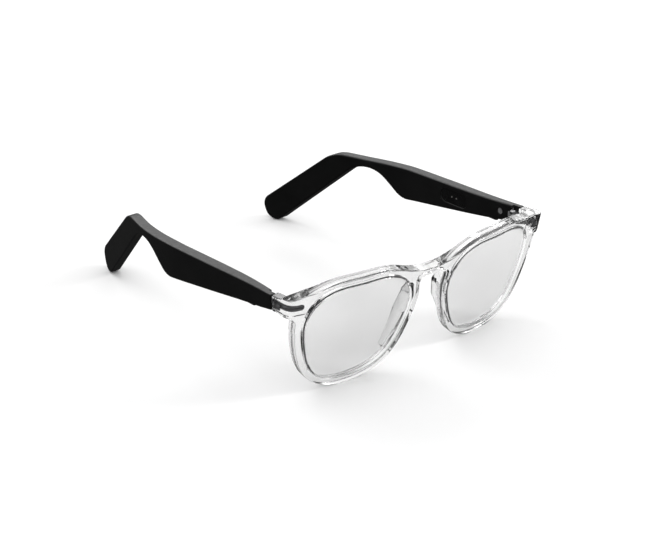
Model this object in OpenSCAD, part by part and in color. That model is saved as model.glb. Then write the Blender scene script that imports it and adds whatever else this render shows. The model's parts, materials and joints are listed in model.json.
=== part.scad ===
// Audio smart glasses with a clear front and two folding black temples.
// Origin: on the floor under the middle of the open glasses. +X is the wearer's left,
// -Y is the way the wearer looks, +Z is up. Millimetres.

/* [Front] */
// How far the top of the front leans forward, in degrees
lean = 13.2; // [10:0.2:15]
// Radius of the front's wrap around the face
wrap_r = 326; // [300:1:400]
// Thickness of the front at the brow
front_t = 5; // [4.6:0.1:5.4]
// Thickness of the lower rims
rim_t = 4.4; // [4:0.1:4.8]
// Mean radius of a lens opening
lens_r = 24.5; // [24.2:0.05:24.7]
// Thickness of a lens
lens_t = 2; // [1.6:0.1:2.2]

/* [Temples] */
// Thickness of a temple along its straight length
arm_t = 5.4; // [5:0.1:5.6]
// Thickness of a temple where it meets the front
arm_front_t = 3.2; // [3:0.1:3.4]
// Thickness of the casing's walls
wall = 1; // [0.8:0.05:1.1]
// Radius of the sideways bend towards the ear
bend_r = 150; // [140:1:180]

/* [Hinges] */
// Outer radius of the hinge knuckles
knuckle_r = 1.3; // [1.2:0.05:1.35]
// Radius of the hinge screw's shank
screw_r = 0.55; // [0.5:0.05:0.6]
// Radial running clearance of the screw in the temple's knuckles
running = 0.04; // [0.02:0.01:0.08]
// Gap between neighbouring knuckles
knuckle_gap = 0.08; // [0.05:0.01:0.12]

/* [Controls] */
// How far a button stands out below its temple
button_out = 0.8; // [0.6:0.05:1]
// How far a button travels when it is pressed
button_travel = 0.4; // [0.3:0.05:0.5]

/* [Hidden] */
SIDED = ["lens", "nose_pad", "hinge_front", "hinge_screw", "temple_shell", "temple_cover",
    "hinge_arm", "arm_screw", "battery", "circuit_board", "board_chips", "speaker",
    "speaker_mesh", "charge_port", "charge_contacts", "charge_magnets", "microphone",
    "antenna", "battery_lead", "button", "button_switch"];
$fn = 48;
eps = 0.01;

// The distance from the front's outer corners, where y is 0 below, to the middle of the part
middle_y = 80.2;
// How high the floor lies in the measures below
floor_z = 0.6;
// Where the front's face would meet the floor at x = 0
face_y = 3.8;

// ---- curves ---------------------------------------------------------------------------

function unit(v) = v / norm(v);
function turned(a, b, c) = cross(b - a, c - b);

// The points of the fillet of radius p[i][2] at corner i of a closed outline
function fillet(p, i, steps) =
    let (n = len(p),
         b = [p[i][0], p[i][1]],
         a = [p[(i + n - 1) % n][0], p[(i + n - 1) % n][1]],
         c = [p[(i + 1) % n][0], p[(i + 1) % n][1]],
         u = unit(a - b),
         v = unit(c - b),
         half = acos(max(-1, min(1, u * v))) / 2,
         r = p[i][2],
         centre = b + unit(u + v) * r / sin(half),
         start = b + u * r / tan(half),
         a0 = atan2(start[1] - centre[1], start[0] - centre[0]),
         sweep = (180 - 2 * half) * sign(turned(a, b, c)))
    r == 0 ? [b] : [for (k = [0:steps]) centre + r * [cos(a0 + sweep * k / steps),
                                                     sin(a0 + sweep * k / steps)]];

// A closed outline from corners [x, y, fillet radius]
function rounded(p, steps = 8) = [for (i = [0:len(p) - 1]) each fillet(p, i, steps)];

// The same outline, drawn counterclockwise, moved inwards by d
function inset(p, d) = [for (i = [0:len(p) - 1])
    let (n = len(p),
         b = [p[i][0], p[i][1]],
         a = [p[(i + n - 1) % n][0], p[(i + n - 1) % n][1]],
         c = [p[(i + 1) % n][0], p[(i + 1) % n][1]],
         half = acos(unit(a - b) * unit(c - b)) / 2,
         side = sign(turned(a, b, c)),
         q = b + side * unit(unit(a - b) + unit(c - b)) * d / sin(half))
    [q[0], q[1], max(0, p[i][2] - side * d)]];

// A smooth curve through hand-set points
function between(p, i, t) =
    let (n = len(p) - 1,
         a = p[max(i - 1, 0)],
         b = p[i],
         c = p[min(i + 1, n)],
         d = p[min(i + 2, n)])
    0.5 * (2 * b + (c - a) * t + (2 * a - 5 * b + 4 * c - d) * t * t
        + (3 * b - a - 3 * c + d) * t * t * t);
function smooth(p, steps = 4) =
    concat([for (i = [0:len(p) - 2]) for (k = [0:steps - 1]) between(p, i, k / steps)],
        [p[len(p) - 1]]);

// ---- placing --------------------------------------------------------------------------

// Right-hand pieces are the mirror image of left-hand ones
module on_side(side) {
    translate([0, -middle_y, -floor_z])
        if (side == "right") mirror([1, 0, 0]) children();
        else children();
}

// Puts a piece drawn in the front's own frame in place: x across, y back, z up its face
module in_front() {
    translate([0, face_y, 0]) rotate([lean, 0, 0]) children();
}

// Extrudes an (x, z) outline backwards from y = y0
module back(y0, depth) {
    translate([0, y0 + depth, 0]) rotate([90, 0, 0]) linear_extrude(depth) children();
}

// Extrudes a (y, z) outline sideways from x = x0
module across(x0, width) {
    translate([x0, 0, 0]) rotate([90, 0, 90]) linear_extrude(width) children();
}

// The curved layer of the front between two depths behind its face
module front_layer(from, to) {
    translate([0, wrap_r, -20]) difference() {
        cylinder(r = wrap_r - from, h = 90, $fn = 200);
        translate([0, 0, -1]) cylinder(r = wrap_r - to, h = 92, $fn = 200);
    }
}

// ---- front ----------------------------------------------------------------------------

lens_x = 36.4;
lens_z = 27.4;
// Where the endpieces end and the temples begin
joint_y = 11.8;
// The shape of a lens opening as a radius about its centre
function opening_r(a) = lens_r + cos(2 * a) - 0.2 * cos(3 * a) - 0.95 * cos(4 * a)
    - 0.5 * sin(2 * a) + 1.4 * sin(3 * a) + 0.2 * sin(5 * a);
function opening(grow, steps) = [for (k = [0:steps - 1])
    let (a = 360 * k / steps)
    [lens_x, lens_z] + (opening_r(a) + grow) * [cos(a), sin(a)]];

// The rim's width: slim below, wider towards the temple
function rim_w(a) = 3.5 + 1.2 * pow(max(0, cos(a - 12)), 2);
rim_outline = [for (a = [0:5:355])
    [lens_x, lens_z] + (opening_r(a) + rim_w(a)) * [cos(a), sin(a)]];

// One half of the brow, bridge and corner, seen from the front
brow_top = smooth([[0, 46.9], [5, 47.1], [10, 48.1], [15, 49.4], [20, 50.4], [27, 51.3],
    [36, 51.6], [46, 51.3], [56, 50.4], [63, 49.3], [69.2, 47.9]]);
corner = rounded([[70.8, 47.5, 0.8], [70.4, 39.6, 2], [66.6, 38.6, 4], [65.8, 32, 0], [60, 32, 0],
    [60, 46, 0]], 6);
keyhole = smooth([[8.6, 27.6], [7.9, 30.6], [7.1, 33.2], [6.8, 35.6], [7.1, 38.4], [7.3, 41],
    [6.6, 42.8], [5, 43.5], [2.6, 43.4], [0, 43.1]]);

module half_front_outline() {
    difference() {
        union() {
            polygon(rim_outline);
            polygon(concat(brow_top, corner, [[56, 40], [20, 40], [14, 28]], keyhole));
        }
        polygon(opening(0, 90));
    }
}

// Half of the front seen along its own face: the outer corner is rounded
front_plan = rounded([[-1, -5, 0], [58, -5, 0], [58, 5.1, 0], [70.4, 7.6, 4], [70.9, 30, 0],
    [-1, 30, 0]]);
endpiece_plan = rounded([[60, 5, 0], [71, 5, 0], [71, 30, 0], [66.8, 30, 0], [66.6, 11.6, 2],
    [60, 10.2, 0]]);
endpiece_side = rounded([[-3, 39.8, 0], [joint_y, 41.1, 0.6], [joint_y, 47.9, 0.6],
    [-3, 48.3, 0]]);

module half_front() {
    in_front() intersection() {
        back(-2, 20) half_front_outline();
        linear_extrude(60) polygon(front_plan);
        union() {
            front_layer(0, rim_t);
            intersection() {
                front_layer(0, front_t);
                translate([-5, -5, 40]) cube([100, 40, 15]);
            }
        }
    }
    intersection() {
        in_front() intersection() {
            linear_extrude(60) polygon(endpiece_plan);
            linear_extrude(60) polygon(front_plan);
            front_layer(0, 30);
        }
        across(50, 30) polygon(endpiece_side);
    }
}

module front_solid() {
    half_front();
    mirror([1, 0, 0]) half_front();
}

groove_depth = 0.8;
groove_from = 1.3;

module front_frame() {
    color([0.9, 0.92, 0.93, 0.5]) translate([0, -middle_y, -floor_z]) difference() {
        front_solid();
        for (m = [0, 1]) mirror([m, 0, 0]) {
            in_front() intersection() {
                back(-2, 20) polygon(opening(groove_depth, 90));
                front_layer(groove_from, groove_from + lens_t);
            }
            anchor(0.03);
        }
    }
}

module lens() {
    color([0.85, 0.87, 0.88, 0.35]) in_front() intersection() {
        back(-2, 20) polygon(opening(groove_depth - 0.05, 90));
        front_layer(groove_from + 0.02, groove_from + lens_t - 0.02);
    }
}

// A built-up pad on the nose side of each rim, from behind
pad_points = [[9.4, 38.6, 1.9], [8.9, 33, 2.6], [10.8, 26, 2.9], [14, 18.5, 2], [18.2, 11.6, 1.2]];

module nose_pad() {
    color([0.9, 0.92, 0.93, 0.5]) in_front() difference() {
        for (i = [0:len(pad_points) - 2]) hull() for (p = [pad_points[i], pad_points[i + 1]])
            translate([p[0] + 0.4, rim_t + p[2] * 0.5, p[1]])
                scale([0.75, 1.2, 1]) sphere(r = p[2], $fn = 24);
        front_layer(-5, rim_t + 0.02);
    }
}

// ---- hinge ----------------------------------------------------------------------------

pin_x = 65.6;
pin_y = 14.2;
pin_z = 44.5;
knuckles = 5;
knuckle_h = 0.8;
barrel_h = knuckles * knuckle_h;
barrel_low = 41.8;
plate_h = 2.6;
// Where the plate's rounded end begins
plate_x = 64;
// The metal plate inside the endpiece, seen from above: it wraps the corner
plate_line = rounded([[67.9, joint_y - 0.1, 0], [68.7, 2.2, 4.5], [60, 1.3, 0], [60, 2, 0],
    [67.95, 2.9, 3.8], [67.15, joint_y - 0.1, 0]], 10);
// The block that carries the knuckles, let into the end of the endpiece
root_from = [66.85, 8.6];
root_to = [68, 12];

// The plate and its block, grown all round
module anchor(grow) {
    intersection() {
        translate([0, 0, pin_z - plate_h / 2 - grow]) linear_extrude(plate_h + 2 * grow)
            offset(delta = grow) polygon(plate_line);
        back(-1, 14) union() {
            translate([plate_x, pin_z]) circle(r = plate_h / 2 + grow);
            translate([plate_x, pin_z - plate_h]) square([10, 2 * plate_h]);
        }
    }
    translate([root_from[0] - grow, root_from[1] - grow, barrel_low - grow])
        cube([root_to[0] - root_from[0] + 2 * grow, root_to[1] - root_from[1] + grow,
            barrel_h + 2 * grow]);
}

// One knuckle with a web that reaches the points of web, counted from the pin
module knuckle(i, web) {
    translate([pin_x, pin_y, barrel_low + i * knuckle_h + knuckle_gap / 2])
        linear_extrude(knuckle_h - knuckle_gap) union() {
            circle(r = knuckle_r);
            polygon(web);
        }
}

module hinge_front() {
    color("silver") difference() {
        union() {
            anchor(0);
            for (i = [0, 2, 4]) knuckle(i, [[-0.9, -0.95], [1.3, -2.6], [2.3, -2.6], [2.3, -1.9],
                [1.1, 0.7]]);
        }
        translate([pin_x, pin_y, barrel_low - 1]) cylinder(r = screw_r, h = barrel_h + 2);
    }
}

screw_head_h = 0.35;

module hinge_screw() {
    color("gainsboro") difference() {
        union() {
            translate([pin_x, pin_y, barrel_low]) cylinder(r = screw_r, h = barrel_h);
            translate([pin_x, pin_y, barrel_low + barrel_h]) cylinder(r = 1.1, h = screw_head_h);
        }
        translate([pin_x - 0.12, pin_y - 2, barrel_low + barrel_h + 0.15]) cube([0.24, 4, 1]);
    }
}

// The leaf inside the temple: its thickness, its depth below the inner face and its ends
leaf_t = 0.7;
leaf_depth = 0.8;
leaf_start = 16.1;
leaf_end = 26;
leaf_h = 4;
arm_screw_y = 22.8;
arm_screw_z = pin_z - 1.2;
arm_screw_r = 0.5;
arm_screw_head_r = 1.35;
arm_screw_len = 2.4;
arm_screw_sunk = 0.2;
function inner_x(y) = mid_x(y) - half_t(y);
// The leaf's line along the temple's inner face, moved d into the temple
function leaf_line(d, play) = [for (y = [leaf_start - play, 19, 22, leaf_end + play])
    [inner_x(y) + d, y]];

// The leaf, grown all round by play
module leaf(play) {
    translate([0, 0, pin_z - leaf_h / 2 - play]) linear_extrude(leaf_h + 2 * play)
        polygon(concat(leaf_line(leaf_depth - play, play),
            reversed(leaf_line(leaf_depth + leaf_t + play, play))));
}

// Puts a piece on the temple's inner face at the leaf's screw, pointing outwards
module at_arm_screw(depth) {
    translate([inner_x(arm_screw_y) + depth, arm_screw_y, arm_screw_z])
        rotate([0, 90, 0]) children();
}

// The plate that joins the knuckles to the leaf, seen from the side
arm_root = [[15.3, 43.8], [18, 44.7], [18.2, 42.3], [16.6, 41.6], [15.3, 42.2]];

module hinge_arm() {
    color("silver") difference() {
        union() {
            for (i = [1, 3]) knuckle(i, [[-0.7, 1.05], [2.25, 1.8], [2.25, 2.4], [2.5, 2.4],
                [2.5, 1.2], [1.2, -0.4]]);
            leaf(0);
            across(66.6, 1.4) polygon(arm_root);
        }
        translate([pin_x, pin_y, barrel_low - 1])
            cylinder(r = screw_r + running, h = barrel_h + 2);
        at_arm_screw(0) cylinder(r = arm_screw_r, h = 4);
    }
}

// The screw that holds the leaf, with a slot across its head
module arm_screw() {
    color("gainsboro") difference() {
        union() {
            at_arm_screw(arm_screw_sunk) cylinder(r = arm_screw_r, h = arm_screw_len);
            at_arm_screw(arm_screw_sunk) cylinder(r = arm_screw_head_r, h = 0.4);
        }
        at_arm_screw(arm_screw_sunk - 1) cylinder(r = 0.45, h = 1.2);
    }
}

// ---- temple ---------------------------------------------------------------------------

arm_start = 12.1;
// The temple seen from the side: [y, z, fillet radius]
arm_side = [[arm_start, 47.9, 0.5], [arm_start, 41.1, 0.5], [20, 39.5, 30], [86.5, 30.1, 11],
    [108.2, 45.3, 18], [163.6, -2.6, 5.5], [168.7, 10.2, 6], [127, 43.9, 18], [110, 44.3, 60],
    [84, 46, 200]];
bend_y = 75;
straight_y = 117;

// The middle of the temple's thickness, and half its thickness
function mid_x(y) = 67.6 + 1.6 * pow(max(0, 40 - y) / 28, 2)
    - (y < bend_y ? 0
        : y < straight_y ? pow(y - bend_y, 2) / (2 * bend_r)
        : pow(straight_y - bend_y, 2) / (2 * bend_r)
            + (y - straight_y) * (straight_y - bend_y) / bend_r);
function half_t(y) = arm_t / 2 - (arm_t - arm_front_t) / 2 * pow(max(0, 60 - y) / 48, 2);

stations = [arm_start, 16, 20, 25, 30, 35, 40, 50, 60, bend_y, 81, 87, 93, 99, 105, 111,
    straight_y, 145, 172];
function face(inset) = [for (y = stations) [mid_x(y) + half_t(y) - inset, y]];
function inner_face(inset) = [for (k = [len(stations) - 1:-1:0])
    let (y = stations[k]) [mid_x(y) - half_t(y) + inset, y]];

function reversed(p) = [for (k = [len(p) - 1:-1:0]) p[k]];

// A layer of the temple between two insets from its outer and its inner face
module arm_layer(from_outer, from_inner) {
    linear_extrude(120, center = true) polygon(concat(face(from_outer), inner_face(from_inner)));
}

module temple_solid() {
    intersection() {
        across(30, 60) polygon(rounded(arm_side));
        arm_layer(0, 0);
    }
}

cover_t = 0.9;
edge_wall = 1.2;
hollow_start = 32;

// The outline of the hollow that holds the electronics
module hollow_side() {
    intersection() {
        across(30, 60) polygon(rounded(inset(arm_side, edge_wall)));
        translate([30, hollow_start, -10]) cube([60, 160, 70]);
    }
}

// The step on the temple's inner side that clears the knuckles
rebate_x = 68.2;
rebate_y = 16;

module temple_shell() {
    color([0.07, 0.07, 0.07]) difference() {
        temple_solid();
        intersection() {
            hollow_side();
            arm_layer(wall, -1);
        }
        leaf(0.02);
        translate([60, leaf_start - 1, pin_z - leaf_h / 2]) cube([rebate_x - 60, 1.6, leaf_h]);
        across(60, 8.02) offset(delta = 0.02) polygon(arm_root);
        translate([60, 0, 30]) cube([rebate_x - 60, rebate_y, 30]);
        at_arm_screw(0) cylinder(r = arm_screw_r, h = arm_screw_sunk + arm_screw_len);
        at_arm_screw(-1) cylinder(r = arm_screw_head_r, h = 1 + arm_screw_sunk + 0.4);
        button_well();
        translate([mid_x(mic_y), mic_y, 37]) cylinder(r = 0.5, h = 3);
        sound_slots();
    }
}

module temple_cover() {
    color([0.09, 0.09, 0.09]) difference() {
        intersection() {
            hollow_side();
            linear_extrude(120, center = true)
                polygon(concat(reversed(inner_face(cover_t)), inner_face(0)));
        }
        translate([-1, 0, 0]) port_prism(0.02, 4);
    }
}

// ---- charging port --------------------------------------------------------------------

port_y = 51;
port_z = 41.2;
port_len = 17;
port_h = 6.6;
port_x = mid_x(port_y) - half_t(port_y);

port_recess = 0.3;
// The inner side of the circuit board, which the contacts reach
board_x = 67.9;
contact_y = 1.5;
contact_r = 0.4;

// The oval of the port, depth deep into the temple from its inner face
module port_prism(grow, depth) {
    across(port_x, depth) hull() for (s = [-1, 1])
        translate([port_y + s * (port_len - port_h) / 2, port_z]) circle(r = port_h / 2 + grow);
}

module charge_port() {
    color([0.05, 0.05, 0.05]) difference() {
        translate([port_recess, 0, 0]) port_prism(0, 1.7 - port_recess);
        at_contacts(-1) cylinder(r = contact_r + 0.02, h = 4);
    }
}

module at_contacts(depth) {
    for (s = [-1, 1]) translate([port_x + depth, port_y + contact_y * s, port_z])
        rotate([0, 90, 0]) children();
}

module charge_contacts() {
    color("silver") at_contacts(port_recess) cylinder(r = contact_r, h = board_x - port_x - port_recess);
}

module charge_magnets() {
    color("silver") for (s = [-1, 1]) translate([port_x + 1.75, port_y + 3.7 * s, port_z])
        rotate([0, 90, 0]) cylinder(r = 1.1, h = 0.9);
}

// ---- electronics, right and left alike ------------------------------------------------

board_t = 0.6;

module circuit_board() {
    color("darkgreen") across(board_x, board_t)
        polygon(rounded([[38, 43.1, 0.5], [38, 40.8, 0.5], [78, 35.4, 0.5], [78, 43.1, 0.5]], 4));
}

module board_chips() {
    color([0.15, 0.15, 0.17]) for (c = [[41, 41.3, 4, 2], [60, 39.4, 5, 3.5], [67, 38, 3, 3],
            [71.5, 38, 5, 4], [72, 42.2, 3, 0.8]])
        translate([board_x - 0.9, c[0], c[1]]) cube([0.9, c[2], c[3]]);
}

speaker_y = 88;
speaker_z = 37.9;

module speaker() {
    color([0.2, 0.2, 0.22]) translate([mid_x(speaker_y) - 1.2, speaker_y, speaker_z])
        rotate([0, 90, 0]) rotate([0, 0, 45]) difference() {
            cylinder(r = 4, h = 2.4);
            translate([0, 0, -eps]) cylinder(r = 3.2, h = 0.6);
        }
}

slot_y = [77.2, 79, 80.8];

// The sound leaves through slots in the temple's lower edge
module sound_slots() {
    for (y = slot_y) translate([mid_x(y) - 0.9, y - 0.5, 30]) cube([1.8, 1, 4]);
}

module speaker_mesh() {
    color([0.3, 0.3, 0.3]) translate([mid_x(79) - 1.4, 0, 0])
        across(0, 2.8) polygon([[76, 33.1], [76, 33.5], [82, 32.7], [82, 32.3]]);
}

module battery() {
    color("silver") intersection() {
        across(30, 60) polygon(rounded([[131, 38, 1.5], [126, 32.2, 1.5], [155.4, 7, 1.5],
            [160.9, 13.8, 1.5]], 4));
        arm_layer(wall + 0.3, cover_t + 0.3);
    }
}

// The flat lead from the board to the battery, over the narrow part of the temple
module battery_lead() {
    color("firebrick") intersection() {
        across(30, 60) polygon([[78.3, 43.2], [78.3, 42.7], [108, 42.3], [117.5, 40.7], [128.5, 35.1],
            [129, 35.68], [118, 41.25], [108, 42.85]]);
        arm_layer(wall + 1, cover_t + 1);
    }
}

module antenna() {
    color("goldenrod") intersection() {
        across(30, 60) polygon([[34, 44.2], [76, 43.3], [76, 43.6], [42, 44.5], [34, 44.6]]);
        arm_layer(wall + 0.8, cover_t + 0.9);
    }
}

mic_y = 34.5;

module microphone() {
    color("silver") translate([mid_x(mic_y) - 0.6, mic_y - 1.5, 39.2]) difference() {
        cube([1.2, 3, 1.2]);
        translate([0.6, 1.5, -eps]) cylinder(r = 0.3, h = 0.5);
    }
}

// ---- button ---------------------------------------------------------------------------

button_y = 28;
button_len = 5;
button_w = 1.8;

module stadium(grow) {
    hull() for (s = [-1, 1]) translate([0, s * (button_len - button_w) / 2])
        circle(r = button_w / 2 + grow);
}

// Where the temple's lower edge is at the button
button_z = 38.45;
flange_z = 1;
flange_t = 0.4;
flange_w = 0.3;
well_gap = 0.3;
well_top = 42.2;

module at_button(z) {
    translate([mid_x(button_y), button_y, button_z + z]) children();
}

module button_well() {
    at_button(-2) linear_extrude(flange_z + 2 - 0.05) stadium(well_gap);
    at_button(flange_z - 0.05) linear_extrude(well_top - button_z - flange_z + 0.05)
        stadium(well_gap + flange_w);
}

module button() {
    color([0.08, 0.08, 0.08]) {
        at_button(-button_out) linear_extrude(button_out + flange_z + flange_t) stadium(0);
        at_button(flange_z) linear_extrude(flange_t) stadium(flange_w);
    }
}

module button_switch() {
    z = flange_z + flange_t + button_travel + 0.1;
    color("silver") at_button(z) cylinder(r = 0.8, h = well_top - button_z - z);
}

// ---- assembly -------------------------------------------------------------------------

module piece(name) {
    if (name == "lens") lens();
    if (name == "nose_pad") nose_pad();
    if (name == "hinge_front") hinge_front();
    if (name == "hinge_screw") hinge_screw();
    if (name == "temple_shell") temple_shell();
    if (name == "temple_cover") temple_cover();
    if (name == "hinge_arm") hinge_arm();
    if (name == "arm_screw") arm_screw();
    if (name == "battery") battery();
    if (name == "circuit_board") circuit_board();
    if (name == "board_chips") board_chips();
    if (name == "speaker") speaker();
    if (name == "speaker_mesh") speaker_mesh();
    if (name == "charge_port") charge_port();
    if (name == "charge_contacts") charge_contacts();
    if (name == "charge_magnets") charge_magnets();
    if (name == "microphone") microphone();
    if (name == "antenna") antenna();
    if (name == "battery_lead") battery_lead();
    if (name == "button") button();
    if (name == "button_switch") button_switch();
}

front_frame();
for (side = ["right", "left"]) for (name = SIDED)
    on_side(side) piece(name);
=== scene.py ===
"""The looks of the smart glasses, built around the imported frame.

Meshes are worked out in millimetres and turned into metres when they are made.
x is across the front, to the wearer's left; y is backwards; z is up.
"""
import json
import math

import bpy
import numpy as np
from mathutils import Matrix, Vector


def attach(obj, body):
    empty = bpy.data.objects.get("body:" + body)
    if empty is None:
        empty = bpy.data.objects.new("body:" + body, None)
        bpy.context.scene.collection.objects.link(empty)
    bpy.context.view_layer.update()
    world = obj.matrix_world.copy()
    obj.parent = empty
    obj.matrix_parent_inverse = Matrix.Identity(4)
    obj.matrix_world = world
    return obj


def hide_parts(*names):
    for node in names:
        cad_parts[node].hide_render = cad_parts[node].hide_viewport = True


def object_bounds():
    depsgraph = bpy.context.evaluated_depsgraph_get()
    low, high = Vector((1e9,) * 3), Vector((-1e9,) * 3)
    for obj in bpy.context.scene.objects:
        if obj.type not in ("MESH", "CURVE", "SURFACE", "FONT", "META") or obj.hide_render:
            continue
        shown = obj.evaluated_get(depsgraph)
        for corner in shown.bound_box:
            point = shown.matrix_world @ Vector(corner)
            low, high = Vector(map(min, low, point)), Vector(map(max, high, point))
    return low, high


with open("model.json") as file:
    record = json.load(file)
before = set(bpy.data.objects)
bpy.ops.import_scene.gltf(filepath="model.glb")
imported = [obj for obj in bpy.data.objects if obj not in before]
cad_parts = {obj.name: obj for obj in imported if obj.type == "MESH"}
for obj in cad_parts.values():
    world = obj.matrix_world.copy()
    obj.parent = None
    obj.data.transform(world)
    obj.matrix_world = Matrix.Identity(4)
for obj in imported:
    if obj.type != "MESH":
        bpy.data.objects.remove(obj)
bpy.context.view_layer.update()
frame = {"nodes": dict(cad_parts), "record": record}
nodes = frame["nodes"]
MM = 0.001

# ---- sizes, as in the CAD ------------------------------------------------------------------

LEAN = math.radians(13.2)  # how far the front's top leans forward
MIDDLE_Y = 80.2  # from the front's outer corners to the middle of the part
FLOOR_Z = 0.6  # how high the floor lies in the measures below
FACE_Y = 3.8 - MIDDLE_Y  # where the front's face would meet z = 0
WRAP_R = 326.0  # radius that the front is bent to
BROW_T = 5.0
RIM_T = 4.4
LENS_R = 24.5
LENS_T = 2.0
LENS_CENTRE = (36.4, 27.4)
GROOVE_DEPTH = 0.8
GROOVE_FROM = 1.3  # from the face to the groove's front wall
JOINT_Y = 11.8 - MIDDLE_Y  # the endpiece's rear end

# Along the temples, y counts from the front's outer corners
ARM_START = 12.1
ARM_X = 67.6  # middle of a temple's thickness where it runs straight back
ARM_T = 5.4
ARM_FRONT_T = 3.2
FLARE = (1.6, 40, 28)  # how far the front end stands out, where that ends, and over what length
THIN_TO = (60, 48)  # where the temple reaches its full thickness, and over what length
BEND_R = 150.0
BEND_Y = 75.0
STRAIGHT_Y = 117.0

# ---- roundings that only the looks have ----------------------------------------------------

BROW_FROM = (39.2, 41.5)  # heights between which the rim thickens to the brow
EDGE_R = 0.5
OPENING_EDGE_R = 0.3
BROW_FILLET = 1.2
ENDPIECE_FILLET = 0.8
PAD_FILLET = 0.5
SIDE_R = 0.7  # along the temple's edges
MOUTH_R = 0.15  # around the openings in the temple
SLOT_R = 0.1  # around the speaker slots


# ---- curves --------------------------------------------------------------------------------

def rounded(corners, steps=10):
    """A closed outline from corners (x, y, fillet radius)."""
    points = []
    for i, (x, y, radius) in enumerate(corners):
        b = np.array([x, y], float)
        if radius == 0:
            points.append(b)
            continue
        a = np.array(corners[i - 1][:2], float)
        c = np.array(corners[(i + 1) % len(corners)][:2], float)
        u = (a - b) / np.linalg.norm(a - b)
        v = (c - b) / np.linalg.norm(c - b)
        half = math.acos(float(np.clip(u @ v, -1, 1))) / 2
        centre = b + (u + v) / np.linalg.norm(u + v) * radius / math.sin(half)
        start = b + u * radius / math.tan(half) - centre
        turn = np.cross(b - a, c - b)
        sweep = (math.pi - 2 * half) * (1 if turn > 0 else -1)
        for k in range(steps + 1):
            t = sweep * k / steps
            spun = (start[0] * math.cos(t) - start[1] * math.sin(t),
                    start[0] * math.sin(t) + start[1] * math.cos(t))
            points.append(centre + spun)
    return np.array(points)


def smooth(points, steps=6):
    """A smooth curve through given points."""
    p = np.array([points[0]] + list(points) + [points[-1]], float)
    out = []
    for i in range(1, len(p) - 2):
        a, b, c, d = p[i - 1:i + 3]
        for t in np.arange(steps) / steps:
            out.append(0.5 * (2 * b + (c - a) * t + (2 * a - 5 * b + 4 * c - d) * t * t
                              + (3 * b - a - 3 * c + d) * t ** 3))
    return np.array(out + [p[-2]])


def opening_r(a):
    """The shape of a lens opening as a radius about its centre."""
    return (LENS_R + np.cos(2 * a) - 0.2 * np.cos(3 * a) - 0.95 * np.cos(4 * a)
            - 0.5 * np.sin(2 * a) + 1.4 * np.sin(3 * a) + 0.2 * np.sin(5 * a))


def rim_r(a):
    """The rim's outer edge: slim below, wider towards the temple."""
    return opening_r(a) + 3.5 + 1.2 * np.maximum(0, np.cos(a - math.radians(12))) ** 2


BROW_TOP = smooth([(0, 46.9), (5, 47.1), (10, 48.1), (15, 49.4), (20, 50.4), (27, 51.3), (36, 51.6),
                   (46, 51.3), (56, 50.4), (63, 49.3), (69.2, 47.9)])
CORNER = rounded([(70.8, 47.5, 0.8), (70.4, 39.6, 2), (66.6, 38.6, 4), (65.8, 32, 0), (60, 32, 0),
                  (60, 46, 0)])
KEYHOLE = smooth([(8.6, 27.6), (7.9, 30.6), (7.1, 33.2), (6.8, 35.6), (7.1, 38.4), (7.3, 41),
                  (6.6, 42.8), (5, 43.5), (2.6, 43.4), (0, 43.1)])
# The brow's half outline runs past the middle, so that the two halves meet without a seam
BROW = np.vstack([[(-3, 46.9)], BROW_TOP, CORNER, [(56, 40), (20, 40), (14, 28)], KEYHOLE,
                  [(-3, 43.1)]])
ENDPIECE_PLAN = rounded([(60, 5, 0), (71, 5, 0), (71, 30, 0), (66.8, 30, 0), (66.6, 11.6, 2),
                         (60, 10.2, 0)])
FRONT_PLAN = rounded([(-9, -5, 0), (58, -5, 0), (58, 5.1, 0), (70.4, 7.6, 4), (70.9, 30, 0),
                      (-9, 30, 0)])
ENDPIECE_SIDE = rounded([(-3 - MIDDLE_Y, 39.8, 0), (JOINT_Y, 41.1, 0.6), (JOINT_Y, 47.9, 0.6),
                         (-3 - MIDDLE_Y, 48.3, 0)])
# Points along a pad's ridge: across, up, and the ridge's radius
PADS = [(9.4, 38.6, 1.9), (8.9, 33, 2.6), (10.8, 26, 2.9), (14, 18.5, 2), (18.2, 11.6, 1.2)]
ARM_SIDE = rounded([(ARM_START, 47.9, 0.5), (ARM_START, 41.1, 0.5), (20, 39.5, 30),
                    (86.5, 30.1, 11), (108.2, 45.3, 18), (163.6, -2.6, 5.5), (168.7, 10.2, 6),
                    (127, 43.9, 18), (110, 44.3, 60), (84, 46, 200)], 16)


def mid_x(y):
    """The middle of a temple's thickness, which bends inwards towards the tip."""
    out, end, length = FLARE
    bend = np.clip(y, BEND_Y, STRAIGHT_Y) - BEND_Y
    slope = (STRAIGHT_Y - BEND_Y) / BEND_R
    return (ARM_X + out * (np.maximum(0, end - y) / length) ** 2 - bend ** 2 / (2 * BEND_R)
            - np.maximum(0, y - STRAIGHT_Y) * slope)


def half_t(y):
    """Half of a temple's thickness."""
    end, length = THIN_TO
    return ARM_T / 2 - (ARM_T - ARM_FRONT_T) / 2 * (np.maximum(0, end - y) / length) ** 2


def wrap(x):
    """How far the front's face lies behind its middle."""
    return WRAP_R - np.sqrt(WRAP_R ** 2 - x ** 2)


# ---- solids as distance fields, negative inside -------------------------------------------------

def outline(points, x, y):
    """The distance to a closed outline."""
    x, y = np.broadcast_arrays(x, y)
    nearest = np.full(x.shape, 1e9)
    inside = np.zeros(x.shape, bool)
    for (ax, ay), (bx, by) in zip(points, np.roll(points, -1, axis=0)):
        ex, ey = bx - ax, by - ay
        length = ex * ex + ey * ey
        if length < 1e-12:
            continue
        t = np.clip(((x - ax) * ex + (y - ay) * ey) / length, 0, 1)
        nearest = np.minimum(nearest, (x - ax - t * ex) ** 2 + (y - ay - t * ey) ** 2)
        if ey != 0:
            inside ^= ((ay > y) != (by > y)) & (x < ax + (y - ay) * ex / ey)
    return np.where(inside, -1, 1) * np.sqrt(nearest)


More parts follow.
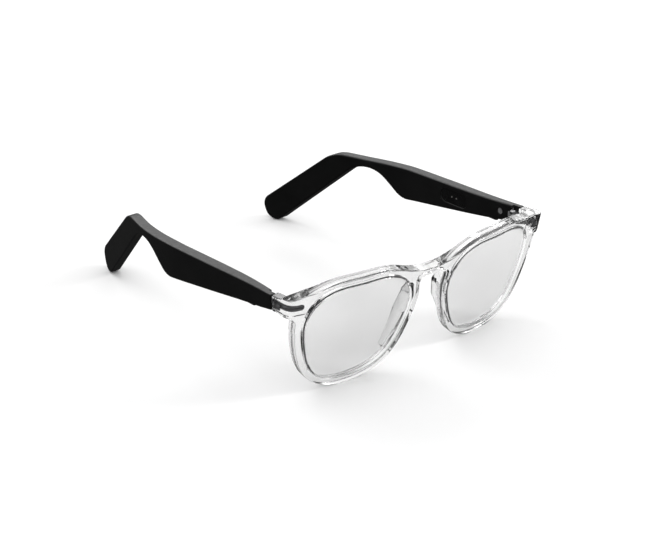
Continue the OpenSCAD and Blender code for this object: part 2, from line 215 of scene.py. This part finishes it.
def about_lens(radius, x, w):
    """The distance to a curve given as a radius about the lens's centre."""
    turn = 0.01
    dx, dw = x - LENS_CENTRE[0], w - LENS_CENTRE[1]
    a = np.arctan2(dw, dx)
    r = radius(a)
    slope = (radius(a + turn) - r) / turn / r
    return (np.hypot(dx, dw) - r) / np.sqrt(1 + slope ** 2)


def both(a, b, r):
    """The overlap of two solids, its edge rounded to radius r."""
    return np.minimum(-r, np.maximum(a, b)) + np.hypot(np.maximum(a + r, 0), np.maximum(b + r, 0))


def either(a, b, r):
    """The union of two solids, its inner corner filled to radius r."""
    return np.maximum(r, np.minimum(a, b)) - np.hypot(np.maximum(r - a, 0), np.maximum(r - b, 0))


def block(x, y, z, low, high):
    """The distance to an upright box."""
    gaps = [np.maximum(lo - v, v - hi) for v, lo, hi in zip((x, y, z), low, high)]
    outside = np.sqrt(sum(np.maximum(g, 0) ** 2 for g in gaps))
    return outside + np.minimum(np.maximum(np.maximum(gaps[0], gaps[1]), gaps[2]), 0)


def step_up(value, start, end):
    """A smooth step from 0 at the start to 1 at the end."""
    t = np.clip((value - start) / (end - start), 0, 1)
    return t * t * (3 - 2 * t)


# ---- meshes ----------------------------------------------------------------------------------------

SETTLE_ROUNDS = 3
SNAP_REACH = 0.6  # how near a line a point lies that is moved onto it, in cells


def part_of(n, axis, start, stop):
    """The index of a stretch along one axis of an n-dimensional array."""
    index = [slice(None)] * n
    index[axis] = slice(start, stop)
    return tuple(index)


def skin(field, low, high, step):
    """The surface where a field is zero, as corners and four-sided faces, by surface nets."""
    sides = [np.arange(lo, hi + step, step) for lo, hi in zip(low, high)]
    grid = np.ix_(*sides)
    value = np.broadcast_to(field(*grid), [len(s) for s in sides])
    inside = value < 0
    cells = np.array(value.shape) - 1
    total = np.zeros(tuple(cells) + (3,), np.float32)
    count = np.zeros(cells, np.int8)
    crossings = []
    for axis in range(3):
        first = value[part_of(3, axis, 0, -1)]
        second = value[part_of(3, axis, 1, None)]
        crossed = inside[part_of(3, axis, 0, -1)] != inside[part_of(3, axis, 1, None)]
        crossings.append(crossed)
        where = np.where(crossed, first / np.where(crossed, first - second, 1), 0)
        one, two = [a for a in range(3) if a != axis]
        for i in (0, 1):
            for j in (0, 1):
                near = part_of(3, one, i, i + cells[one])
                hit = crossed[near][part_of(3, two, j, j + cells[two])]
                along = where[near][part_of(3, two, j, j + cells[two])]
                count += hit
                total[..., axis] += along
                total[..., one] += i * hit
                total[..., two] += j * hit
    mixed = count > 0
    number = np.full(cells, -1)
    number[mixed] = np.arange(mixed.sum())
    place = np.argwhere(mixed) + total[mixed] / count[mixed][:, None]
    points = np.array(low) + place * step
    faces = []
    for axis in range(3):
        one, two = [a for a in range(3) if a != axis]
        at = np.argwhere(crossings[axis])
        at = at[(at[:, one] > 0) & (at[:, two] > 0) & (at[:, one] < cells[one])
                & (at[:, two] < cells[two])]
        ring = []
        for i, j in ((1, 1), (0, 1), (0, 0), (1, 0)):
            cell = at.copy()
            cell[:, one] -= i
            cell[:, two] -= j
            ring.append(number[tuple(cell.T)])
        quads = np.stack(ring, 1)
        outward = inside[tuple(at.T)] ^ (axis == 1)
        quads[~outward] = quads[~outward][:, ::-1]
        faces.append(quads)
    for _ in range(SETTLE_ROUNDS):
        points = settle(field, points, step)
    return points, np.vstack(faces)


def settle(field, points, step):
    """Moves points along the field's slope onto its surface, by at most a cell."""
    def at(p):
        return field(p[:, 0], p[:, 1], p[:, 2])
    value = at(points)
    tiny = step / 20
    slope = np.stack([(at(points + tiny * np.eye(3)[k]) - value) / tiny for k in range(3)], 1)
    least = 0.25  # keeps the move short where the field is nearly flat
    move = -slope * (value / np.maximum((slope ** 2).sum(1), least))[:, None]
    length = np.linalg.norm(move, axis=1)
    return points + move * np.minimum(1, step / np.maximum(length, 1e-9))[:, None]


def snap(points, first, second, step):
    """Moves the points near both of two surfaces onto the line where these cross."""
    def at(p):
        return np.stack([f(p[:, 0], p[:, 1], p[:, 2]) for f in (first, second)], 1)
    near = (np.abs(at(points)) < SNAP_REACH * step).all(1)
    moved = points[near]
    tiny = step / 20
    for _ in range(SETTLE_ROUNDS):
        value = at(moved)
        slopes = np.stack([(at(moved + tiny * np.eye(3)[k]) - value) / tiny for k in range(3)], 2)
        square = slopes @ slopes.transpose(0, 2, 1) + 1e-6 * np.eye(2)
        moved = moved - (slopes.transpose(0, 2, 1) @ np.linalg.solve(square, value[..., None]))[..., 0]
    points[near] = moved


def normals(field, from_row, points):
    """The directions that a field rises in, at points in the row's frame."""
    tiny = 0.02
    steps = tiny * np.eye(3)
    slope = np.stack([field(*from_row(points + s)) - field(*from_row(points - s)) for s in steps], 1)
    return slope / np.maximum(np.linalg.norm(slope, axis=1), 1e-9)[:, None]


def mesh_piece(name, points, faces, side, material, directions=None):
    """A shown piece from points in millimetres. The right side is the mirror image of the left."""
    points = points * MM
    if side == "right":
        points = points * (-1, 1, 1)
        faces = [f[::-1] for f in faces]
    mesh = bpy.data.meshes.new(name)
    mesh.from_pydata(points.tolist(), [], [list(map(int, f)) for f in faces])
    mesh.polygons.foreach_set("use_smooth", [True] * len(mesh.polygons))
    mesh.materials.append(material)
    mesh.update()
    if directions is not None:
        mirror = (-1, 1, 1) if side == "right" else (1, 1, 1)
        mesh.normals_split_custom_set_from_vertices((directions * mirror).tolist())
    piece = bpy.data.objects.new(name, mesh)
    bpy.context.scene.collection.objects.link(piece)
    return piece


def front_to_row(points):
    """From (across, behind the face, up the face) to the row's frame."""
    x, d, w = points.T
    n = d + wrap(x)
    return np.stack([x, FACE_Y + n * math.cos(LEAN) - w * math.sin(LEAN),
                     n * math.sin(LEAN) + w * math.cos(LEAN) - FLOOR_Z], 1)


def row_to_front(points):
    x, y, z = points.T
    y = y - FACE_Y
    z = z + FLOOR_Z
    d = y * math.cos(LEAN) + z * math.sin(LEAN) - wrap(x)
    return x, d, z * math.cos(LEAN) - y * math.sin(LEAN)


def arm_to_row(points):
    """From (outwards from the temple's middle, back, up) to the row's frame."""
    u, y, z = points.T
    return np.stack([mid_x(y) + u, y - MIDDLE_Y, z - FLOOR_Z], 1)


def row_to_arm(points):
    x, y, z = points.T
    y = y + MIDDLE_Y
    return x - mid_x(y), y, z + FLOOR_Z


# ---- materials --------------------------------------------------------------------------------------

class Paint:
    """A procedural material around one Principled shader."""

    def __init__(self, name, **sockets):
        self.material = bpy.data.materials.new(name)
        self.material.use_nodes = True
        self.tree = self.material.node_tree
        self.shader = self.tree.nodes["Principled BSDF"]
        self.place = self.add("ShaderNodeTexCoord").outputs["Object"]
        self.height = None
        for key, value in sockets.items():
            self.shader.inputs[key.replace("_", " ")].default_value = value

    def add(self, kind, **inputs):
        node = self.tree.nodes.new(kind)
        for key, value in inputs.items():
            node.inputs[key].default_value = value
        return node

    def link(self, a, b):
        self.tree.links.new(a, b)

    def noise(self, scale, stretch=(1, 1, 1), detail=3.0):
        """A noise with about scale grains in a metre, stretched along the axes."""
        mapping = self.add("ShaderNodeMapping", Scale=stretch)
        self.link(self.place, mapping.inputs["Vector"])
        node = self.add("ShaderNodeTexNoise", Scale=scale, Detail=detail)
        self.link(mapping.outputs["Vector"], node.inputs["Vector"])
        return node.outputs["Fac"]

    def vary(self, socket, value, low, high):
        """Lets a number run from low to high with a texture."""
        node = self.add("ShaderNodeMapRange")
        for key, number in (("From Min", 0.3), ("From Max", 0.7), ("To Min", low), ("To Max", high)):
            node.inputs[key].default_value = number
        self.link(value, node.inputs["Value"])
        self.link(node.outputs["Result"], self.shader.inputs[socket])

    def colours(self, value, low, high):
        """Lets the base colour run from low to high with a texture."""
        node = self.add("ShaderNodeValToRGB")
        node.color_ramp.elements[0].position = 0.35
        node.color_ramp.elements[0].color = (*low, 1)
        node.color_ramp.elements[1].position = 0.65
        node.color_ramp.elements[1].color = (*high, 1)
        self.link(value, node.inputs["Fac"])
        self.link(node.outputs["Color"], self.shader.inputs["Base Color"])

    def bump(self, value, depth, strength=1.0):
        """Raises the surface by up to depth metres with a texture."""
        node = self.add("ShaderNodeBump", Strength=strength, Distance=depth)
        self.link(value, node.inputs["Height"])
        if self.height:
            self.link(self.height, node.inputs["Normal"])
        self.height = node.outputs["Normal"]
        self.link(self.height, self.shader.inputs["Normal"])

    def absorb(self, colour, density):
        """Tints the inside of a clear piece."""
        node = self.add("ShaderNodeVolumeAbsorption", Color=(*colour, 1), Density=density)
        output = self.tree.nodes["Material Output"]
        self.link(node.outputs["Volume"], output.inputs["Volume"])


def clear_frame():
    """Polished clear plastic with the faint waves that polishing leaves."""
    paint = Paint("clear_frame", Transmission_Weight=1.0, IOR=1.49)
    paint.colours(paint.noise(60), (0.97, 0.97, 0.97), (0.99, 0.99, 0.99))
    paint.vary("Roughness", paint.noise(900), 0.0, 0.03)
    paint.bump(paint.noise(150), 0.00001, 0.2)
    paint.absorb((0.5, 0.5, 0.5), 38.0)
    return paint.material


def lens_glass():
    """A faintly grey lens with a trace of dust."""
    paint = Paint("lens_glass", Transmission_Weight=1.0, IOR=1.5)
    paint.colours(paint.noise(40), (0.78, 0.78, 0.78), (0.81, 0.81, 0.81))
    paint.vary("Roughness", paint.noise(2500, detail=6), 0.0, 0.012)
    paint.bump(paint.noise(30), 0.00002, 0.2)
    return paint.material


def lens_edge_painted_shade():
    """The ground edge of a lens: dull, dark grey and fine-grained. Its near-black colour is painted shade
    for the dark lines that refraction draws along the lens rims.
    """
    paint = Paint("lens_edge_painted_shade", IOR=1.5)
    # painted shade: this near-black colour stands in for the dark refraction lines at the lens rims
    paint.colours(paint.noise(2500, detail=4), (0.04, 0.04, 0.042), (0.08, 0.08, 0.083))
    paint.vary("Roughness", paint.noise(1500), 0.45, 0.6)
    paint.bump(paint.noise(6000), 0.00001, 0.4)
    return paint.material


def black_plastic(name, gloss, grain):
    """Satin black moulding: a fine spark-eroded grain and slow changes of tone."""
    paint = Paint(name, IOR=1.45)
    paint.colours(paint.noise(90), (0.0008, 0.0008, 0.0009), (0.002, 0.002, 0.0021))
    paint.vary("Roughness", paint.noise(700), gloss - 0.04, gloss + 0.04)
    paint.bump(paint.noise(grain, detail=2), 0.000004, 0.5)
    return paint.material


def metal(name, low, high, rough, stretch):
    """Worked metal with fine lines along one direction."""
    paint = Paint(name, Metallic=1.0)
    paint.colours(paint.noise(300, stretch), low, high)
    paint.vary("Roughness", paint.noise(2500, stretch), rough - 0.06, rough + 0.08)
    paint.bump(paint.noise(4000, stretch, 2), 0.00002, 0.4)
    return paint.material


def soft_finish(name, low, high, rough, grain):
    """A dull moulded, lacquered or foil finish."""
    paint = Paint(name)
    paint.colours(paint.noise(grain / 8), low, high)
    paint.vary("Roughness", paint.noise(grain / 2), rough - 0.05, rough + 0.05)
    paint.bump(paint.noise(grain), 0.00003, 0.5)
    return paint.material


MATERIALS = {
    "clear_frame": clear_frame(),
    "lens_glass": lens_glass(),
    "hinge_steel": metal("hinge_steel", (0.03, 0.03, 0.032), (0.15, 0.15, 0.155), 0.36, (1, 1, 12)),
    "screw_steel": metal("screw_steel", (0.5, 0.5, 0.51), (0.66, 0.66, 0.67), 0.55, (1, 6, 1)),
    "black_casing": black_plastic("black_casing", 0.42, 9000),
    "black_cover": black_plastic("black_cover", 0.45, 9000),
    "battery_foil": metal("battery_foil", (0.5, 0.5, 0.52), (0.66, 0.66, 0.68), 0.35, (1, 1, 1)),
    "board_green": soft_finish("board_green", (0.01, 0.09, 0.03), (0.02, 0.14, 0.05), 0.35, 3000),
    "chip_black": soft_finish("chip_black", (0.015, 0.015, 0.016), (0.03, 0.03, 0.032), 0.5, 6000),
    "speaker_frame": soft_finish("speaker_frame", (0.02, 0.02, 0.02), (0.035, 0.035, 0.04), 0.5, 5000),
    "speaker_gauze": metal("speaker_gauze", (0.08, 0.08, 0.08), (0.14, 0.14, 0.15), 0.4, (3, 1, 1)),
    "port_black": black_plastic("port_black", 0.3, 6000),
    "contact_plate": metal("contact_plate", (0.72, 0.7, 0.66), (0.85, 0.83, 0.79), 0.5, (1, 1, 1)),
    "magnet_plate": metal("magnet_plate", (0.5, 0.5, 0.5), (0.62, 0.62, 0.63), 0.22, (1, 1, 1)),
    "antenna_foil": metal("antenna_foil", (0.6, 0.35, 0.16), (0.75, 0.47, 0.24), 0.3, (1, 8, 1)),
    "lead_film": soft_finish("lead_film", (0.4, 0.16, 0.03), (0.55, 0.24, 0.05), 0.35, 2500),
    "button_black": black_plastic("button_black", 0.4, 8000),
    "switch_dome": metal("switch_dome", (0.5, 0.5, 0.5), (0.6, 0.6, 0.6), 0.3, (1, 1, 1)),
}
GROUND_EDGE_PAINTED_SHADE = lens_edge_painted_shade()
for part in frame["record"]["subparts"]:
    slots = nodes[part["node"]].data.materials
    slots.clear()
    slots.append(MATERIALS[part["material_slot"]])


# ---- front -------------------------------------------------------------------------------------------

def front_body(x, d, w):
    """The clear front, with its pads, over (across, behind the face, up the face)."""
    x = np.abs(x)
    n = d + wrap(x)
    y = FACE_Y + n * math.cos(LEAN) - w * math.sin(LEAN)
    z = n * math.sin(LEAN) + w * math.cos(LEAN)
    opening = about_lens(opening_r, x, w)
    rims = about_lens(rim_r, x, w)
    shape = either(rims, outline(BROW, x, w), BROW_FILLET)
    thickness = RIM_T + (BROW_T - RIM_T) * step_up(w, *BROW_FROM)
    body = both(both(shape, -d, EDGE_R), d - thickness, EDGE_R)
    endpiece = both(outline(ENDPIECE_PLAN, x, n), outline(ENDPIECE_SIDE, y, z), EDGE_R)
    endpiece = both(endpiece, -d, EDGE_R)
    body = either(body, endpiece, ENDPIECE_FILLET)
    body = both(body, outline(FRONT_PLAN, x, n), EDGE_R)
    body = both(body, -opening, OPENING_EDGE_R)
    body = either(body, pads(x, d, w), PAD_FILLET)
    groove = np.maximum(opening - GROOVE_DEPTH, np.maximum(GROOVE_FROM - d, d - GROOVE_FROM - LENS_T))
    return np.maximum(body, -groove)


def pads(x, d, w):
    """The pads behind the nose side of the rims: swelling ridges along given points."""
    aside = 0.4
    width, depth = 0.75, 1.2  # of the ridge, in its radius
    front = 1.5
    slope = 0.85
    nearest = np.full(np.broadcast(x, d, w).shape, 1e9)
    for (ax, aw, ar), (bx, bw, br) in zip(PADS, PADS[1:]):
        ex, ew = bx - ax, bw - aw
        t = np.clip(((x - ax - aside) * ex + (w - aw) * ew) / (ex * ex + ew * ew), 0, 1)
        r = ar + (br - ar) * t
        across = (x - ax - aside - t * ex) / width
        behind = (d - RIM_T - 0.5 * r) / depth
        up = w - aw - t * ew
        ridge = (np.sqrt(across ** 2 + behind ** 2 + up ** 2) - r) * slope
        nearest = np.minimum(nearest, ridge)
    return np.maximum(nearest, front - d)


def make_front():
    """The clear front in one mesh, with sharp lines where the lens grooves' walls meet."""
    step = 0.3
    points, faces = skin(front_body, (-72, -1.05, -1.5), (72, 13, 53), step)
    for edge in (0, GROOVE_DEPTH):
        for depth in (GROOVE_FROM, GROOVE_FROM + LENS_T):
            snap(points, lambda x, d, w: about_lens(opening_r, np.abs(x), w) - edge,
                 lambda x, d, w: d - depth, step)
    points = front_to_row(points)
    piece = mesh_piece("front_clear", points, faces, "left", MATERIALS["clear_frame"],
                       normals(front_body, row_to_front, points))
    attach(piece, "front")
    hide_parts("front_frame", "left_nose_pad", "right_nose_pad")


def make_lens(side):
    """A pane that follows the front's wrap, with a bevelled edge that sits in the groove."""
    turns = 360
    angles = np.arange(turns) * 2 * math.pi / turns
    floor_gap = 0.05
    wall_gap = 0.02
    edge = opening_r(angles) + GROOVE_DEPTH - floor_gap
    face, back = GROOVE_FROM + wall_gap, GROOVE_FROM + LENS_T - wall_gap
    bevel = 0.74
    inner = (0.25, 0.5, 0.75, 0.9)
    rings = [(share * (edge - bevel), face) for share in inner]
    rings += [(edge - bevel, face), (edge - bevel * 0.3, face + bevel * 0.3), (edge, face + bevel)]
    rings += [(radius, face + back - depth) for radius, depth in reversed(rings)]
    points = [(*LENS_CENTRE, face)]
    for radius, depth in rings:
        for a, r in zip(angles, radius):
            points.append((LENS_CENTRE[0] + r * math.cos(a), LENS_CENTRE[1] + r * math.sin(a), depth))
    points.append((*LENS_CENTRE, back))
    points = np.array(points)[:, (0, 2, 1)]
    faces = []
    last = len(points) - 1
    for k in range(turns):
        n = (k + 1) % turns
        faces.append((0, 1 + k, 1 + n))
        for ring in range(len(rings) - 1):
            start = 1 + ring * turns
            faces.append((start + k, start + turns + k, start + turns + n, start + n))
        start = last - turns
        faces.append((last, start + n, start + k))
    piece = mesh_piece(side + "_lens_pane", front_to_row(points), faces, side,
                       MATERIALS["lens_glass"])
    # the ground edge carries the painted-shade material, whose near-black colour draws the dark lines
    # along the rims
    piece.data.materials.append(GROUND_EDGE_PAINTED_SHADE)
    ground = range(1 + 4 * turns, 1 + 8 * turns)  # the corners from the front bevel to the edge
    for polygon, corners in zip(piece.data.polygons, faces):
        if min(corners) in ground and max(corners) in ground:
            polygon.material_index = 1
            polygon.use_smooth = False
    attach(piece, "front")
    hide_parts(side + "_lens")


# ---- temples -------------------------------------------------------------------------------------------

REBATE_X = 68.2  # the step at the front end that the hinge sits in
REBATE_Y = 16.0
PIN_Z = 44.5
ROOT = ((15.1, 16.7, 42.5, 46.5), (15.1, 18.22, 41.7, 44.5))  # beds of the hinge: y and z spans
SCREW = (22.8, PIN_Z - 1.2, 1.35, 0.6)  # place, head radius and depth of the leaf's screw
BUTTON_Y = 28.0
BUTTON_Z = 38.45
WELL = (1.6, 1.2, 1.6)  # the button's well: half of its straight length, its radius and its depth
PORT = (51.0, 41.2, 17.0, 6.6)  # place, length and height of the charging port
PORT_DEPTH = 1.7
PORT_GAP = 0.05
SLOT_Y = (77.2, 79.0, 80.8)
SLOT_HALF = (0.9, 0.5)  # half of a speaker slot's width across the temple and along it
SLOT_Z = (20, 34)
MIC = (34.5, 0.5, 40)  # place, radius and top of the microphone's hole


def arm_body(u, y, z):
    """A temple over (outwards from its middle, back from the front's corners, up)."""
    thick = np.abs(u) - half_t(y)
    body = both(outline(ARM_SIDE, y, z), thick, SIDE_R)
    x = mid_x(y) + u
    inner = half_t(y) + u
    rebate = np.maximum(x - REBATE_X, y - REBATE_Y)
    screw_y, screw_z, head_r, head_depth = SCREW
    screw = np.maximum(np.hypot(y - screw_y, z - screw_z) - head_r, inner - head_depth)
    port_y, port_z, port_length, port_height = PORT
    port = np.hypot(np.maximum(np.abs(y - port_y) - (port_length - port_height) / 2, 0), z - port_z)
    port = np.maximum(port - port_height / 2 - PORT_GAP, inner - PORT_DEPTH)
    well_half, well_r, well_depth = WELL
    well = np.hypot(np.maximum(np.abs(y - BUTTON_Y) - well_half, 0), u) - well_r
    well = np.maximum(well, z - BUTTON_Z - well_depth)
    mic_y, mic_r, mic_top = MIC
    mic = np.maximum(np.hypot(y - mic_y, u) - mic_r, z - mic_top)
    body = both(body, -rebate, MOUTH_R)
    body = both(body, -port, MOUTH_R)
    body = both(body, -well, MOUTH_R)
    body = np.maximum(np.maximum(body, -screw), -mic)
    for y0, y1, z0, z1 in ROOT:
        bed = np.maximum(np.maximum(z0 - z, z - z1), x - REBATE_X)
        body = np.maximum(body, -np.maximum(np.maximum(y0 - y, y - y1), bed))
    wide, long = SLOT_HALF
    for slot_y in SLOT_Y:
        slot = block(u, y, z, (-wide, slot_y - long, SLOT_Z[0]), (wide, slot_y + long, SLOT_Z[1]))
        body = both(body, -slot, SLOT_R)
    return body


def make_temples():
    """Each temple's casing and cover in one mesh, the right one mirrored from the left."""
    step = 0.4
    points, faces = skin(arm_body, (-3.3, 11.5, -0.6), (3.3, 170.2, 48.8), step)
    points = arm_to_row(points)
    directions = normals(arm_body, row_to_arm, points)
    for side in ("left", "right"):
        piece = mesh_piece(side + "_temple_skin", points, faces, side, MATERIALS["black_casing"],
                           directions)
        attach(piece, side + "_temple")
        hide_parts(side + "_temple_shell", side + "_temple_cover")


make_front()
for side in ("left", "right"):
    make_lens(side)
make_temples()


# ---- floor, light and camera ---------------------------------------------------------------------------

def make_floor():
    """A plain pale floor, far wider than the view."""
    paint = Paint("floor", Specular_IOR_Level=0.1)
    paint.colours(paint.noise(3), (0.86, 0.86, 0.86), (0.87, 0.87, 0.87))
    paint.vary("Roughness", paint.noise(50), 0.85, 0.95)
    mesh = bpy.data.meshes.new("floor")
    reach = 40.0
    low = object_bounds()[0][2]
    corners = [(-reach, -reach, low), (reach, -reach, low), (reach, reach, low), (-reach, reach, low)]
    mesh.from_pydata(corners, [], [(0, 1, 2, 3)])
    mesh.materials.append(paint.material)
    floor = bpy.data.objects.new("floor", mesh)
    floor.visible_glossy = False
    bpy.context.scene.collection.objects.link(floor)


def make_world():
    """A white room: bright overhead, dimmer near the horizon."""
    world = bpy.data.worlds.new("room")
    bpy.context.scene.world = world
    world.use_nodes = True
    tree = world.node_tree
    place = tree.nodes.new("ShaderNodeTexCoord")
    split = tree.nodes.new("ShaderNodeSeparateXYZ")
    ramp = tree.nodes.new("ShaderNodeValToRGB")
    tree.links.new(place.outputs["Generated"], split.inputs["Vector"])
    tree.links.new(split.outputs["Z"], ramp.inputs["Fac"])
    ramp.color_ramp.elements[0].position = 0.05
    ramp.color_ramp.elements[0].color = (0.06, 0.06, 0.06, 1)
    ramp.color_ramp.elements[1].position = 0.6
    ramp.color_ramp.elements[1].color = (1, 1, 1, 1)
    back = tree.nodes["Background"]
    back.inputs["Strength"].default_value = 1.08
    tree.links.new(ramp.outputs["Color"], back.inputs["Color"])


def make_light(name, azimuth, height, distance, size, radiance):
    """A soft panel that faces the glasses from an azimuth, clockwise from +Y, and a height."""
    light = bpy.data.lights.new(name, "AREA")
    light.shape = "RECTANGLE"
    light.size, light.size_y = size
    light.energy = radiance * math.pi * size[0] * size[1]
    lamp = bpy.data.objects.new(name, light)
    az, up = math.radians(azimuth), math.radians(height)
    away = Vector((math.sin(az) * math.cos(up), math.cos(az) * math.cos(up), math.sin(up)))
    lamp.location = away * distance
    lamp.rotation_euler = away.to_track_quat("Z", "Y").to_euler()
    bpy.context.scene.collection.objects.link(lamp)


CAMERA_PLACE = (-0.44036, -0.55231, 0.33301)
CAMERA_AZIMUTH = -39.37
CAMERA_HEIGHT = 24.33
CAMERA_ROLL = -0.53
CAMERA_LENS = 95.07


def make_camera():
    """The camera, placed in metres, and turned by an azimuth, a height and a roll in degrees."""
    az, up, roll = (math.radians(v) for v in (CAMERA_AZIMUTH, CAMERA_HEIGHT, CAMERA_ROLL))
    back = Vector((math.sin(az) * math.cos(up), -math.cos(az) * math.cos(up), math.sin(up)))
    level = Vector((math.cos(az), math.sin(az), 0))
    rise = back.cross(level)
    right = level * math.cos(roll) + rise * math.sin(roll)
    camera = bpy.data.cameras.new("camera")
    camera.lens = CAMERA_LENS
    camera.sensor_width = 36
    eye = bpy.data.objects.new("camera", camera)
    turn = Matrix((right, back.cross(right), back)).transposed().to_4x4()
    eye.matrix_world = Matrix.Translation(CAMERA_PLACE) @ turn
    bpy.context.scene.collection.objects.link(eye)
    bpy.context.scene.camera = eye


make_floor()
make_world()
make_light("side", 129, 32, 1.6, (0.5, 0.4), 12.0)
make_light("back", -5, 38, 2.4, (1.6, 1.0), 3.4)
make_light("strip", 39, 24, 2.2, (2.0, 0.5), 2.5)
make_camera()
bpy.context.scene.view_settings.view_transform = "Standard"
